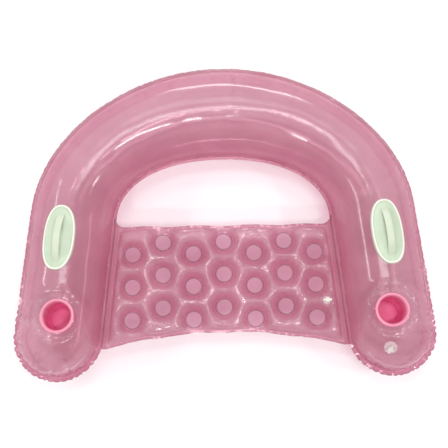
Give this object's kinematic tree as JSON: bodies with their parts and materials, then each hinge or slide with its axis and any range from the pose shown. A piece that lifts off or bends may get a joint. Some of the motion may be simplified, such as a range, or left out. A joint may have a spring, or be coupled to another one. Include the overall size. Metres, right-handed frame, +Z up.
{
  "type": "inflatable pool float",
  "caption": "U-shaped clear film lounge float with a curved backrest, spot-welded seat, drink wells, hand grips and push-in air valves",
  "frame": {"origin": "on the floor, under the middle of the overall box of the inflated float", "axes": "+X to the right, +Y towards the curved backrest, +Z up; the open front of the U faces -Y"},
  "size_m": [1.338, 1.0418, 0.311],
  "materials": {
    "pink_film": "clear pink film, glossy",
    "weld_film": "double film at the welds, glossy",
    "cup_vinyl": "opaque pink vinyl, soft gloss",
    "handle_vinyl": "off-white moulded vinyl, satin",
    "clear_vinyl": "clear moulded vinyl, glossy",
    "valve_vinyl": "milky white soft vinyl"
  },
  "bodies": {
    "float": {"main_top_sheet": "pink_film", "main_bottom_sheet": "pink_film", "seat_top_sheet": "pink_film", "seat_bottom_sheet": "pink_film", "seat_spot_welds": "weld_film", "left_well_collar": "pink_film", "right_well_collar": "pink_film", "left_cup_rim": "cup_vinyl", "left_cup_wall": "cup_vinyl", "left_cup_floor": "cup_vinyl", "left_handle_base": "handle_vinyl", "left_handle_grip": "handle_vinyl", "right_cup_rim": "cup_vinyl", "right_cup_wall": "cup_vinyl", "right_cup_floor": "cup_vinyl", "right_handle_base": "handle_vinyl", "right_handle_grip": "handle_vinyl", "main_valve_base": "clear_vinyl", "seat_valve_base": "clear_vinyl"},
    "main_valve_stem": {"main_valve_stem": "valve_vinyl"},
    "main_valve_stopper": {"main_valve_stopper": "valve_vinyl"},
    "main_valve_check_flap": {"main_valve_check_flap": "valve_vinyl"},
    "seat_valve_stem": {"seat_valve_stem": "valve_vinyl"},
    "seat_valve_stopper": {"seat_valve_stopper": "valve_vinyl"},
    "seat_valve_check_flap": {"seat_valve_check_flap": "valve_vinyl"}
  },
  "joints": [
    {"name": "main_valve_push", "type": "slide", "parent": "float", "child": "main_valve_stem", "axis": [-0.2746, -0.4909, 0.8268], "range_m": [-0.011, 0]},
    {"name": "main_stopper_swing", "type": "hinge", "parent": "main_valve_stem", "child": "main_valve_stopper", "pos_m": [0.49577, -0.43484, 0.27846], "axis": [-0.8728, 0.4882, 0], "range_deg": [0, 150]},
    {"name": "main_flap_swing", "type": "hinge", "parent": "main_valve_stem", "child": "main_valve_check_flap", "pos_m": [0.49712, -0.43241, 0.2564], "axis": [0.8728, -0.4882, 0], "range_deg": [0, 60], "stiffness_Nm_per_rad": 0.00001, "springref_deg": -34.38},
    {"name": "seat_valve_push", "type": "slide", "parent": "float", "child": "seat_valve_stem", "axis": [0, 0, 1], "range_m": [-0.011, 0]},
    {"name": "seat_stopper_swing", "type": "hinge", "parent": "seat_valve_stem", "child": "seat_valve_stopper", "pos_m": [0.308, -0.284, 0.19015], "axis": [0, -1, 0], "range_deg": [0, 150]},
    {"name": "seat_flap_swing", "type": "hinge", "parent": "seat_valve_stem", "child": "seat_valve_check_flap", "pos_m": [0.3181, -0.284, 0.17035], "axis": [0, 1, 0], "range_deg": [0, 60], "stiffness_Nm_per_rad": 0.00001, "springref_deg": -34.38}
  ]
}
